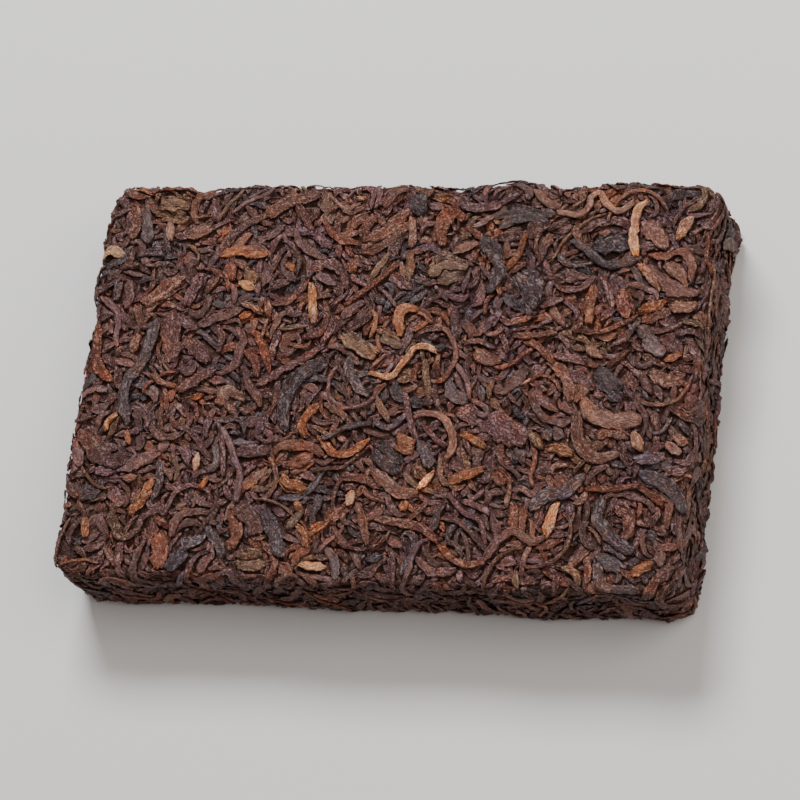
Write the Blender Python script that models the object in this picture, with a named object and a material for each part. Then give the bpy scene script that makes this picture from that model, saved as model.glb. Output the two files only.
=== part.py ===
"""A pressed brick of ripe pu-erh tea, lying on its back face with its show face up.

The brick is one solid: a slab with rounded corners and rims whose outline is a little uneven, and
whose faces carry the shallow relief of the twisted leaves that a press has flattened together.
The origin is under the centre of the back face. X runs along the length, Y along the width and
Z through the thickness.
"""

import math
import random

import bmesh
import bpy
import numpy as np
from mathutils import Vector

MM = 0.001

# Driving dimensions, in metres.
LENGTH = 146 * MM
WIDTH = 96 * MM
THICKNESS = 21 * MM
CORNER_RADIUS = 6.5 * MM
RIM_RADIUS = 2.5 * MM
CORNER_SEGMENTS = 4
RIM_SEGMENTS = 2

# The mesh's own cells: small enough to show a lump of leaves, large enough to stay light.
CELL = 2.9 * MM

# How the mould's walls bulge and sink along each side: (place along the side, outward, half width).
TOP_SIDE_WAVES = (
    (-49, -1.2, 3.5),
    (-36, 0.2, 6),
    (-1, 0.9, 3.5),
    (12, -1.0, 4),
    (26, 0.9, 5),
    (37, -0.8, 4),
    (51, 0.9, 4),
)
BOTTOM_SIDE_WAVES = (
    (-57, 0.4, 7),
    (-31, -0.5, 6),
    (-8, 0.4, 5),
    (15, -0.4, 7),
    (40, 0.5, 6),
    (58, -0.5, 5),
)
RIGHT_SIDE_WAVES = ((-34, 0.5, 5), (-18, 0.2, 6), (10, -0.5, 7), (31, -0.6, 5), (42, 0.8, 4))
LEFT_SIDE_WAVES = ((-31, -0.6, 5), (-12, 0.3, 7), (14, -0.8, 3), (23, 0.7, 5), (34, 0.8, 4))
WAVE_REACH = 20 * MM  # a side's wave fades out this far in from the wall

# Leaf lumps pressed into every face.
LUMP_SPACING = 8.0 * MM
LUMP_LENGTH = (6.0 * MM, 10.0 * MM)  # half lengths
LUMP_WIDTH = (2.9 * MM, 4.2 * MM)  # half widths
LUMP_REACH = 5.0 * MM  # a lump shapes only the surface this near its own plane
LUMP_FLATNESS = 1.5  # a lump's flat top is where this times its height passes 1
RELIEF_DEPTH = 1.1 * MM  # from the tops of the lumps to the floor of the gaps
PAD_RADIUS = 13 * MM  # the back face is fully flat round its centre

ALONG = 0.99  # a direction's part along an axis, from which it counts as parallel to it
SEED = 7
TEA_BROWN = (0.060, 0.030, 0.021, 1.0)  # linear


def clear_scene():
    for obj in list(bpy.data.objects):
        bpy.data.objects.remove(obj)


def tea_material():
    material = bpy.data.materials.new("pressed_tea")
    material.use_nodes = True
    shader = material.node_tree.nodes["Principled BSDF"]
    shader.inputs["Base Color"].default_value = TEA_BROWN
    shader.inputs["Roughness"].default_value = 0.62
    shader.inputs["Metallic"].default_value = 0.0
    return material


def bevel(bm, edges, radius, segments):
    bmesh.ops.bevel(bm, geom=edges, offset=radius, segments=segments, profile=0.5, affect="EDGES")


def rounded_slab():
    """The mould's inside: a slab with rounded upright corners and rounded rims, standing on z = 0."""
    bm = bmesh.new()
    bmesh.ops.create_cube(bm, size=1.0)
    bmesh.ops.scale(bm, vec=(LENGTH, WIDTH, THICKNESS), verts=bm.verts)
    bmesh.ops.translate(bm, vec=(0, 0, THICKNESS / 2), verts=bm.verts)
    upright = [e for e in bm.edges if abs((e.verts[0].co - e.verts[1].co).normalized().z) > ALONG]
    bevel(bm, upright, CORNER_RADIUS, CORNER_SEGMENTS)
    bm.normal_update()
    rims = [e for e in bm.edges if sum(abs(f.normal.z) > ALONG for f in e.link_faces) == 1]
    bevel(bm, rims, RIM_RADIUS, RIM_SEGMENTS)
    return bm


def cut_into_cells(bm):
    """Cuts the flats into cells with evenly spaced planes, which stay clear of the rounded corners."""
    flats = (
        (Vector((1, 0, 0)), -(LENGTH / 2 - CORNER_RADIUS), LENGTH / 2 - CORNER_RADIUS),
        (Vector((0, 1, 0)), -(WIDTH / 2 - CORNER_RADIUS), WIDTH / 2 - CORNER_RADIUS),
        (Vector((0, 0, 1)), RIM_RADIUS, THICKNESS - RIM_RADIUS),
    )
    for normal, low, high in flats:
        cells = round((high - low) / CELL)
        for i in range(1, cells):
            place = normal * (low + (high - low) * i / cells)
            geometry = bm.verts[:] + bm.edges[:] + bm.faces[:]
            bmesh.ops.bisect_plane(bm, geom=geometry, plane_co=place, plane_no=normal)


def wave(places, waves):
    """The sum of a side's bumps at these places along it."""
    total = np.zeros_like(places)
    for centre, outward, half_width in waves:
        total += outward * MM * np.exp(-(((places - centre * MM) / (half_width * MM)) ** 2))
    return total


def inward_fade(distance):
    share = np.clip(1 - distance / WAVE_REACH, 0, 1)
    return share * share * (3 - 2 * share)


def bend_outline(points):
    """Moves the points near each side with that side's waves."""
    x, y = points[:, 0].copy(), points[:, 1].copy()
    points[:, 1] += wave(x, TOP_SIDE_WAVES) * inward_fade(WIDTH / 2 - y)
    points[:, 1] -= wave(x, BOTTOM_SIDE_WAVES) * inward_fade(WIDTH / 2 + y)
    points[:, 0] += wave(y, RIGHT_SIDE_WAVES) * inward_fade(LENGTH / 2 - x)
    points[:, 0] -= wave(y, LEFT_SIDE_WAVES) * inward_fade(LENGTH / 2 + x)


def scattered_lumps(points, normals):
    """Leaf lumps on the surface: each is (centre, direction, sideways, half length, half width)."""
    rng = random.Random(SEED)
    order = list(range(len(points)))
    rng.shuffle(order)
    lumps = []
    for i in order:
        centre = points[i]
        if any(np.sum((centre - lump[0]) ** 2) < LUMP_SPACING**2 for lump in lumps):
            continue
        normal = Vector(normals[i])
        across = normal.orthogonal().normalized()
        turn = rng.uniform(0, math.tau)
        direction = across * math.cos(turn) + normal.cross(across) * math.sin(turn)
        sideways = normal.cross(direction)
        half_length = rng.uniform(*LUMP_LENGTH)
        half_width = rng.uniform(*LUMP_WIDTH)
        lumps.append((centre, np.array(direction), np.array(sideways), half_length, half_width))
    return lumps


def lump_heights(points, lumps):
    """How full of leaf the surface is at each point, from 0 in a gap to 1 on top of a lump."""
    height = np.zeros(len(points))
    for centre, direction, sideways, half_length, half_width in lumps:
        offset = points - centre
        along = offset @ direction / half_length
        beside = offset @ sideways / half_width
        away = np.sum(offset**2, axis=1) - (offset @ direction) ** 2 - (offset @ sideways) ** 2
        near = np.exp(-(along**4) - beside**2) * (away < LUMP_REACH**2)
        height = np.maximum(height, near)
    return height


def press_relief(points, normals):
    """Sinks the gaps between the lumps, and flattens what the press touched."""
    lumps = scattered_lumps(points, normals)
    full = lump_heights(points, lumps)
    back_pad = (points[:, 2] < MM) & (np.hypot(points[:, 0], points[:, 1]) < PAD_RADIUS)
    full[back_pad] = 1.0
    sunk = RELIEF_DEPTH * (1 - np.clip(LUMP_FLATNESS * full, 0, 1))
    points -= normals * sunk[:, None]
    points[:, 2] = np.clip(points[:, 2], 0, THICKNESS)


def shape_brick(mesh):
    count = len(mesh.vertices)
    points = np.empty(count * 3)
    mesh.vertices.foreach_get("co", points)
    points = points.reshape(count, 3)
    normals = np.array([v.normal for v in mesh.vertices])
    press_relief(points, normals)
    bend_outline(points)
    mesh.vertices.foreach_set("co", points.ravel())
    mesh.update()


def make_brick(collection):
    bm = rounded_slab()
    cut_into_cells(bm)
    bm.normal_update()
    mesh = bpy.data.meshes.new("tea_brick")
    bm.to_mesh(mesh)
    bm.free()
    shape_brick(mesh)
    mesh.materials.append(tea_material())
    mesh.shade_smooth()
    brick = bpy.data.objects.new("tea_brick", mesh)
    collection.objects.link(brick)
    return brick


def main():
    clear_scene()
    collection = bpy.data.collections.new("pu_erh_tea_brick")
    bpy.context.scene.collection.children.link(collection)
    make_brick(collection)


main()
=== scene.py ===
"""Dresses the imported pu-erh tea brick with pressed leaves.

The brick's node is replaced by a dark crumbly core with thousands of separate leaves over it. The
leaves are laid from the outside in: the first ones lie against the mould's wall, and each later
one takes a free place beside them or dives under them, as leaves do in a press. Lengths are in
millimetres until a mesh is made. X runs along the brick, Y across it and Z through it.
"""

import math
from collections import namedtuple
from functools import cache

import bpy
import numpy as np
from mathutils import Matrix, Vector


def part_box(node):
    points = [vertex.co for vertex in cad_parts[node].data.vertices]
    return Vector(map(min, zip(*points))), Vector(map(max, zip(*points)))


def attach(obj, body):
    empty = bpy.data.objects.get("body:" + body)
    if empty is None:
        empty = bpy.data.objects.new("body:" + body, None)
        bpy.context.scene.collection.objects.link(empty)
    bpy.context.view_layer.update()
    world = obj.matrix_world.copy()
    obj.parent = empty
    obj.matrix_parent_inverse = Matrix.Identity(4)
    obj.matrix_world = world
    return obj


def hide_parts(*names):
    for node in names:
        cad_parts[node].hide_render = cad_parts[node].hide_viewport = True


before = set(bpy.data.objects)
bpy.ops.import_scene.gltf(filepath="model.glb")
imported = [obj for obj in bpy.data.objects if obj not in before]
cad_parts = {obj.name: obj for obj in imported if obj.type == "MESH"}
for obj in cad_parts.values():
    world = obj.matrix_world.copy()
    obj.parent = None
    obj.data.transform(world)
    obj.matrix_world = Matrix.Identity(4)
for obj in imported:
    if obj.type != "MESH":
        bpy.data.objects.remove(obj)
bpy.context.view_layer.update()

MM = 0.001
SEED = 11

# ------------------------------------------------------------------------------------------------
# The slab that the mould makes. Its sizes are those of the CAD solid.

LENGTH = 146.0
WIDTH = 96.0
THICKNESS = (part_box("tea_brick")[1].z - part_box("tea_brick")[0].z) / MM
CORNER_RADIUS = 6.5
RIM_RADIUS = 2.5
SLAB_AREA = 2 * (LENGTH * WIDTH + LENGTH * THICKNESS + WIDTH * THICKNESS)

# How the mould's walls bulge and sink along each side: (place along the side, outward, half width).
TOP_SIDE_WAVES = (
    (-49, -1.2, 3.5),
    (-36, 0.2, 6),
    (-1, 0.9, 3.5),
    (12, -1.0, 4),
    (26, 0.9, 5),
    (37, -0.8, 4),
    (51, 0.9, 4),
)
BOTTOM_SIDE_WAVES = (
    (-57, 0.4, 7),
    (-31, -0.5, 6),
    (-8, 0.4, 5),
    (15, -0.4, 7),
    (40, 0.5, 6),
    (58, -0.5, 5),
)
RIGHT_SIDE_WAVES = ((-34, 0.5, 5), (-18, 0.2, 6), (10, -0.5, 7), (31, -0.6, 5), (42, 0.8, 4))
LEFT_SIDE_WAVES = ((-31, -0.6, 5), (-12, 0.3, 7), (14, -0.8, 3), (23, 0.7, 5), (34, 0.8, 4))
WAVE_REACH = 20.0  # a side's wave fades out this far in from the wall
TINY = 1e-9  # keeps a division clear of zero


def slab_surface(points):
    """The nearest point of the slab's surface, and the outward normal there."""
    x, y, z = points[..., 0], points[..., 1], points[..., 2]
    past_x = np.abs(x) - (LENGTH / 2 - CORNER_RADIUS)
    past_y = np.abs(y) - (WIDTH / 2 - CORNER_RADIUS)
    in_corner = (past_x > 0) & (past_y > 0)
    reach = np.maximum(np.hypot(past_x, past_y), TINY)
    outward = np.where(in_corner, reach, np.maximum(past_x, past_y)) - CORNER_RADIUS
    plan_x = np.where(in_corner, past_x / reach, past_x >= past_y) * np.sign(x)
    plan_y = np.where(in_corner, past_y / reach, past_x < past_y) * np.sign(y)

    past_wall = outward + RIM_RADIUS
    past_face = np.abs(z - THICKNESS / 2) - THICKNESS / 2 + RIM_RADIUS
    on_rim = (past_wall > 0) & (past_face > 0)
    span = np.maximum(np.hypot(past_wall, past_face), TINY)
    away = np.where(on_rim, span, np.maximum(past_wall, past_face)) - RIM_RADIUS
    wall = np.where(on_rim, past_wall / span, past_wall >= past_face)
    face = np.where(on_rim, past_face / span, past_wall < past_face)
    normals = np.stack((plan_x * wall, plan_y * wall, np.sign(z - THICKNESS / 2) * face), axis=-1)
    return points - normals * away[..., None], normals


def wave(places, waves):
    """The sum of a side's bumps at these places along it."""
    total = np.zeros_like(places)
    for centre, outward, half_width in waves:
        total += outward * np.exp(-(((places - centre) / half_width) ** 2))
    return total


def inward_fade(distance):
    share = np.clip(1 - distance / WAVE_REACH, 0, 1)
    return share * share * (3 - 2 * share)


def bend_outline(points):
    """The points with each side's waves added, as on the CAD solid."""
    x, y, z = points[:, 0], points[:, 1], points[:, 2]
    bent_y = y + wave(x, TOP_SIDE_WAVES) * inward_fade(WIDTH / 2 - y)
    bent_y = bent_y - wave(x, BOTTOM_SIDE_WAVES) * inward_fade(WIDTH / 2 + y)
    bent_x = x + wave(y, RIGHT_SIDE_WAVES) * inward_fade(LENGTH / 2 - x)
    bent_x = bent_x - wave(y, LEFT_SIDE_WAVES) * inward_fade(LENGTH / 2 + x)
    return np.stack((bent_x, bent_y, np.maximum(z, 0)), axis=1)


# ------------------------------------------------------------------------------------------------
# Kinds of leaf. Angles are in radians, and ranges are (least, most).

Kind = namedtuple(
    "Kind",
    (
        "rise",  # of its top over its edges
        "under",  # how far its underside hangs below them
        "folds",  # that run along it, side by side
        "fold_depth",  # as a share of the rise
        "twist",  # of the folds round the leaf, for each millimetre
        "wobble",  # of its width
        "tip",  # the share of its width that is left at its ends
        "crease_depth",
        "creases",  # the lengths of the waves that make them: (across the leaf, along it)
        "sides",  # points round its section: (over, under)
        # What follows is for the kinds that are scattered too, and not only laid where listed.
        "length",
        "half_width",
        "bend",  # how much it turns from ring to ring
        "hook",  # how much more it turns so at one end
    ),
    defaults=(None,) * 4,
)

KINDS = {
    "rolled_leaves": Kind(
        length=(6, 18), half_width=(0.45, 0.95), rise=(0.26, 0.4), under=0.12,
        folds=(1.5, 2.8), fold_depth=(0.5, 1.0), twist=(0.05, 0.5), bend=0.085, hook=0.17,
        wobble=0.28, tip=0.45, crease_depth=0.26, creases=((1.2, 2.6), (3.0, 8.0)), sides=(10, 1),
    ),
    "crumpled_leaves": Kind(
        length=(5, 10), half_width=(0.95, 1.6), rise=(0.4, 0.6), under=0.08,
        folds=(2.6, 4.4), fold_depth=(0.75, 1.0), twist=(0.0, 0.6), bend=0.07, hook=0.1,
        wobble=0.3, tip=0.4, crease_depth=0.4, creases=((1.5, 3.2), (1.7, 4.0)), sides=(13, 1),
    ),
    "small_leaves": Kind(
        length=(4, 12), half_width=(0.38, 0.88), rise=(0.26, 0.4), under=0.1,
        folds=(1.2, 2.4), fold_depth=(0.4, 0.9), twist=(0.0, 0.6), bend=0.1, hook=0.2,
        wobble=0.3, tip=0.35, crease_depth=0.24, creases=((1.2, 2.6), (2.2, 5.0)), sides=(7, 1),
    ),
    "layered_leaves": Kind(
        length=(5, 15), half_width=(0.4, 1.1), rise=(0.3, 0.45), under=0.14,
        folds=(1.6, 3.2), fold_depth=(0.6, 1.0), twist=(0.0, 0.15), bend=0.045, hook=0.1,
        wobble=0.38, tip=0.3, crease_depth=0.3, creases=((0.9, 1.8), (3.0, 8.0)), sides=(8, 1),
    ),
    "stems": Kind(
        length=(8, 20), half_width=(0.25, 0.48), rise=(0.3, 0.42), under=0.25,
        folds=(1.0, 1.5), fold_depth=(0.1, 0.3), twist=(0.0, 0.1), bend=0.1, hook=0.13,
        wobble=0.14, tip=0.75, crease_depth=0.1, creases=((1.0, 2.0), (4.0, 9.0)), sides=(6, 2),
    ),
    "strands": Kind(
        rise=(0.34, 0.46), under=0.2, folds=(1.0, 1.8), fold_depth=(0.15, 0.4), twist=(0.0, 0.15),
        wobble=0.14, tip=0.5, crease_depth=0.12, creases=((1.6, 3.0), (5.0, 10.0)), sides=(10, 2),
    ),
    "buds": Kind(
        length=(3.5, 7), half_width=(0.45, 0.75), rise=(0.32, 0.45), under=0.25,
        folds=(1.5, 2.5), fold_depth=(0.3, 0.6), twist=(0.0, 0.1), bend=0.07, hook=0.1,
        wobble=0.2, tip=0.3, crease_depth=0.14, creases=((1.2, 2.4), (3.0, 6.0)), sides=(8, 3),
    ),
    "fragments": Kind(
        length=(1.8, 4.5), half_width=(0.4, 0.9), rise=(0.2, 0.3), under=0.1,
        folds=(0.8, 1.8), fold_depth=(0.4, 0.8), twist=(0.0, 0.4), bend=0.08, hook=0.0,
        wobble=0.35, tip=0.7, crease_depth=0.2, creases=((1.2, 2.4), (1.5, 3.0)), sides=(6, 1),
    ),
}

# Tints, as they look in even light (sRGB), with the share of scattered leaves that has each.
TINTS = {
    "slate": ((0.345, 0.285, 0.28), 0.05),
    "ink": ((0.285, 0.232, 0.228), 0.13),
    "umber": ((0.35, 0.243, 0.216), 0.25),
    "plum": ((0.395, 0.28, 0.262), 0.29),
    "chestnut": ((0.43, 0.298, 0.244), 0.15),
    "olive": ((0.41, 0.305, 0.235), 0.09),
    "rust": ((0.415, 0.258, 0.196), 0.04),
    "amber": ((0.525, 0.335, 0.222), 0.0),
    "tan": ((0.48, 0.345, 0.285), 0.0),
    "gold": ((0.64, 0.472, 0.34), 0.0),
    "pale": ((0.8, 0.6, 0.46), 0.0),
}
DARK_TINTS = ("slate", "ink", "umber")
TINT_LIGHT = (0.95, 1.15)  # how much darker or lighter a leaf is than its tint
TINT_WARMTH = 0.02  # how much warmer or cooler

# How a leaf is cut into rings, and how it feels for room beside it.
STEP = 0.64  # from ring to ring
ACROSS_STEP = 0.36  # from sample to sample beside a ring
WIDEST = 4.4
ACROSS = np.arange(-WIDEST, WIDEST + 0.01, ACROSS_STEP)
MIDDLE = len(ACROSS) // 2

# How a leaf lies among the others.
OPEN_BELOW = 0.05  # a place is free if nothing reaches deeper than this
DEEPEST = 1.9  # a leaf's top lies no deeper than this under the mould's wall
TUCK = 0.45  # how far a leaf's edge may slip under its neighbour
ROOM = (0.62, 1.3)  # the shares of its width that a leaf can be squeezed or spread to
WIDTH_RANGE = (0.5, 1.6)  # and those that its width wobbles between
BEARING = 0.95  # the share of its width on which a leaf bears on those outside it
COVER = 1.08  # and the share that it takes up
LOOSE = 0.28  # how unevenly it lies where none holds it down
FEWEST_RINGS = 5  # of a leaf that must find room
FEWEST_SEEN = 4  # and the fewest that are laid, once what is out of sight is left off
HIDDEN_END = 2  # rings of a leaf that still reach on out of sight under its neighbours
STEEP = 0.5  # a normal that rises less than this belongs to a wall

# The shape of a leaf.
TAPER = (0.1, 0.35)  # the share of its length over which it narrows
ROUNDNESS = 0.85  # of its section: 1 is an ellipse, and less is more square
JITTER = 0.1  # how unevenly the points of a section are spaced
RIDGE_HEIGHT = 0.15  # of the wrinkles that run along a leaf
DENT_DEPTH = 0.085  # of the small dents between them
GRIT = 0.02  # of its finest roughness
CRUMPLE = 0.15  # how far its top rises and falls along its length
CURL = (-0.1, 0.28)  # how far its edges are rolled up
DRIFT = 0.5  # how unevenly its folds run round it
TILT = 0.14  # how much it leans to one side, and how unevenly
CREASE_WAVES = 5  # that cross to make its creases
FULL_PUFF = 2.2  # the height of the crossed waves where a leaf is full between its creases
FRAY = 0.55  # how far its torn ends are ragged
TIP_REACH = 0.4  # how far its tips stand out past the last ring, as a share of a step
PRESSED_BACK = 0.25  # the share that is left of what would stand out of the mould


class Bed:
    """Remembers how deep the leaves laid so far reach below the mould's wall."""

    CELL = 0.4

    def __init__(self):
        half = np.array((LENGTH / 2, WIDTH / 2, 0)) + 2 * self.CELL
        self.low = -half
        size = (2 * half + np.array((0, 0, THICKNESS))) / self.CELL
        self.shape = tuple(int(n) + 2 for n in size)
        self.depth = np.zeros(int(np.prod(self.shape)), dtype=np.float32)

    def cells(self, feet):
        index = np.rint((feet - self.low) / self.CELL).astype(np.int64)
        return (index[..., 0] * self.shape[1] + index[..., 1]) * self.shape[2] + index[..., 2]

    def read(self, feet):
        return self.depth[self.cells(feet)]

    def press(self, feet, depths):
        np.maximum.at(self.depth, self.cells(feet).ravel(), depths.ravel())

    def read_deepest(self, feet, reach):
        """The greatest depth within this reach along each axis."""
        deepest = self.read(feet)
        for dx in (-reach, 0, reach):
            for dy in (-reach, 0, reach):
                for dz in (-reach, 0, reach):
                    near, _ = slab_surface(feet + np.array((dx, dy, dz)))
                    deepest = np.maximum(deepest, self.read(near))
        return deepest


# ------------------------------------------------------------------------------------------------
# Small helpers on rows of numbers.


def smoothed(values, times=1):
    for _ in range(times):
        padded = np.concatenate((values[:1], values, values[-1:]))
        values = (padded[:-2] + 2 * padded[1:-1] + padded[2:]) / 4
    return values


def widened(values):
    padded = np.concatenate((values[:1], values, values[-1:]))
    return np.maximum(np.maximum(padded[:-2], padded[1:-1]), padded[2:])


def rough_row(rng, count, amount, times=1):
    """A row of smooth random numbers."""
    return smoothed(rng.normal(0, amount, count), times)


def with_midpoints(grid):
    """A grid of values with the midpoints between its rows and between its columns put in."""
    for _ in range(2):
        finer = np.empty((2 * len(grid) - 1,) + grid.shape[1:])
        finer[0::2] = grid
        finer[1::2] = (grid[:-1] + grid[1:]) / 2
        grid = finer.swapaxes(0, 1)
    return grid


def unit(vectors):
    return vectors / np.maximum(np.linalg.norm(vectors, axis=-1, keepdims=True), TINY)


# ------------------------------------------------------------------------------------------------
# Where a leaf runs.

Line = namedtuple("Line", "feet normals sides room")
CURVE_SAMPLES = 12  # between two of the places that a drawn line goes through


def walk(starts, headings, turns):
    """Walks over the slab from each start, turning by turns (radians) at each step."""
    points, headings = starts, headings
    feet, normals, sides = [], [], []
    for k in range(turns.shape[1]):
        points, normal = slab_surface(points)
        side = np.cross(normal, headings)
        turn = turns[:, k, None]
        headings = headings * np.cos(turn) + side * np.sin(turn)
        headings = unit(headings - normal * np.sum(headings * normal, axis=1, keepdims=True))
        feet.append(points)
        normals.append(normal)
        sides.append(np.cross(normal, headings))
        points = points + headings * STEP
    return with_room(np.stack(feet, 1), np.stack(normals, 1), np.stack(sides, 1))


def with_room(feet, normals, sides):
    """Lines with the surface points beside them, where a leaf feels for room."""
    offsets = ACROSS[None, None, :, None] * sides[:, :, None, :]
    room, _ = slab_surface(feet[:, :, None, :] + offsets)
    return Line(feet, normals, sides, room)


def smooth_curve(points):
    """A Catmull-Rom curve through the points, as a row of samples."""
    ends = np.vstack((2 * points[0] - points[1], points, 2 * points[-1] - points[-2]))
    curve = []
    for a, b, c, d in zip(ends, ends[1:], ends[2:], ends[3:]):
        for t in np.linspace(0, 1, CURVE_SAMPLES, endpoint=False):
            bow = (2*a - 5*b + 4*c - d)*t**2
            curve.append(0.5 * (2*b + (c - a)*t + bow + (3*b - a - 3*c + d)*t**3))
    return np.array(curve + [points[-1]])


def drawn_line(points):
    """A line through these (x, y) places on the show face."""
    curve = smooth_curve(points)
    gone = np.concatenate(([0], np.cumsum(np.linalg.norm(np.diff(curve, axis=0), axis=1))))
    places = np.linspace(0, gone[-1], max(4, round(gone[-1] / STEP) + 1))
    xy = np.stack((np.interp(places, gone, curve[:, 0]), np.interp(places, gone, curve[:, 1])), 1)
    feet, normals = slab_surface(np.column_stack((xy, np.full(len(xy), THICKNESS))))
    sides = np.cross(normals, unit(np.gradient(feet, axis=0)))
    line = with_room(feet[None], normals[None], sides[None])
    return Line(*(part[0] for part in line))


def swirl(points):
    """The way that the leaves near a point tend to lie: an angle that drifts over the brick."""
    x, y, z = points[:, 0], points[:, 1], points[:, 2]
    return 1.7 * np.sin(x / 13 + 1.5 * np.sin(y / 10 + z)) + 1.3 * np.sin(y / 9 - x / 21 + z)


def first_headings(points, normals, rng, spread):
    """Directions to set out in: along the walls' length, and in drifting swirls on the faces."""
    on_wall = np.abs(normals[:, 2]) < STEEP
    level = unit(np.cross(np.array((0.0, 0.0, 1.0)), normals + np.array((1e-6, 0, 0))))
    across = np.where(on_wall[:, None], level, np.array((1.0, 0.0, 0.0)))
    across = unit(across - normals * np.sum(across * normals, axis=1, keepdims=True))
    stray = rng.normal(0, spread, len(points))
    angle = np.where(on_wall, stray, swirl(points) + stray)
    angle = angle + math.pi * rng.integers(0, 2, len(points))
    other = np.cross(normals, across)
    return across * np.cos(angle)[:, None] + other * np.sin(angle)[:, None]


# ------------------------------------------------------------------------------------------------
# How a leaf fits in.

Fit = namedtuple("Fit", "first last left right top share rise")


def leaf_ends(count, tip, rng):
    """The share of its width that a leaf has along its length: it narrows towards both ends."""
    place = np.linspace(0, 1, count)
    first_taper, last_taper = rng.uniform(*TAPER, 2)
    taper = np.minimum(place / first_taper, (1 - place) / last_taper)
    return tip + (1 - tip) * np.sin(np.clip(taper, 0, 1) * math.pi / 2)


def side_width(is_open, wish, wobble, rng):
    """The width of one side of a leaf: about what it would be, as far as it finds room."""
    room = np.cumprod(is_open, axis=1).sum(axis=1) * ACROSS_STEP
    wish = wish * np.clip(1 + rough_row(rng, len(wish), wobble), *WIDTH_RANGE)
    return smoothed(np.clip(room + TUCK, ROOM[0] * wish, ROOM[1] * wish))


def off_middle(left, right):
    """How far off the leaf's middle each sample beside it lies, where 1 is the leaf's edge."""
    width = np.where(ACROSS[None, :] > 0, right[:, None], left[:, None])
    return np.abs(ACROSS[None, :]) / width


def longest_run(flags):
    """Where the longest unbroken run of true flags starts and ends."""
    edges = np.flatnonzero(np.diff(np.concatenate(([0], flags.astype(int), [0]))))
    if not len(edges):
        return 0, 0
    starts, ends = edges[0::2], edges[1::2]
    best = np.argmax(ends - starts)
    return starts[best], ends[best]


def seen_part(first, last, seen):
    """What is in view of the run of rings from first to last, and the hidden ends beside it."""
    in_view = first + np.flatnonzero(seen[first:last].any(axis=1))
    if not len(in_view):
        return first, first
    return max(first, in_view[0] - HIDDEN_END), min(last, in_view[-1] + 1 + HIDDEN_END)


def fit_leaf(bed, line, kind, rng, half_width, rise, sink):
    """Finds how a leaf on this line lies among those already laid, or None if it has no place."""
    count = len(line.feet)
    reached = bed.read(line.room)
    is_open = reached < OPEN_BELOW
    wish = half_width * leaf_ends(count, kind.tip, rng)
    right = side_width(is_open[:, MIDDLE:], wish, kind.wobble, rng)
    left = side_width(is_open[:, MIDDLE::-1], wish, kind.wobble, rng)

    beside = off_middle(left, right)
    inside = beside < BEARING
    drop = rise * (1 - np.sqrt(1 - np.minimum(beside, 1) ** 2))
    need = np.where(inside, reached - drop, 0).max(axis=1)
    need = smoothed(widened(need), 2)
    loose = sink + np.abs(rough_row(rng, count, LOOSE, 2))
    top = np.maximum(need, loose)

    first, last = longest_run(top < DEEPEST)
    if last - first < min(FEWEST_RINGS, count):
        return None
    first, last = seen_part(first, last, is_open & inside)
    if last - first < FEWEST_SEEN:
        return None
    seen = is_open[first:last][inside[first:last]]
    share = seen.mean() if len(seen) else 0
    return Fit(first, last, left[first:last], right[first:last], top[first:last], share, rise)


def stamp(bed, line, fit, kind):
    """Marks in the bed how deep the leaf reaches."""
    beside = off_middle(fit.left, fit.right)
    bottom = fit.top[:, None] + fit.rise + kind.under * np.sqrt(1 - np.minimum(beside, 1) ** 2)
    bottom = np.where(beside < COVER, bottom, 0)
    bed.press(with_midpoints(line.room[fit.first:fit.last]), with_midpoints(bottom))


# ------------------------------------------------------------------------------------------------
# The shape of one leaf.


def section_angles(sides):
    over, under = sides
    top = np.linspace(0, math.pi, over)
    below = np.linspace(math.pi, 2 * math.pi, under + 2)[1:-1]
    return np.concatenate((top, below))


def rings_from_end(count):
    ring = np.arange(count)
    return np.minimum(ring, ring[::-1])[:, None]


def twisted(ridges, turned, kind):
    """The rows of ridges, each row moved round the leaf by as much as the leaf has turned there."""
    shift = np.rint(turned * (kind.sides[0] - 1) / math.pi).astype(int)
    rows, columns = np.indices(ridges.shape)
    return ridges[rows, (columns + shift[:, None]) % ridges.shape[1]]


def creased(lateral, along, creases, rng):
    """How far the leaf puffs out between its creases, from 0 in a crease to 1."""
    field = np.zeros_like(lateral)
    for _ in range(CREASE_WAVES):
        across_wave = rng.uniform(*creases[0])
        along_wave = rng.uniform(*creases[1]) * rng.choice((-1, 1))
        turns = lateral / across_wave + along[:, None] / along_wave
        field += np.sin(math.tau * turns + rng.uniform(0, 9))
    return 1 - (1 - np.clip(np.abs(field) / FULL_PUFF, 0, 1)) ** 2


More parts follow.
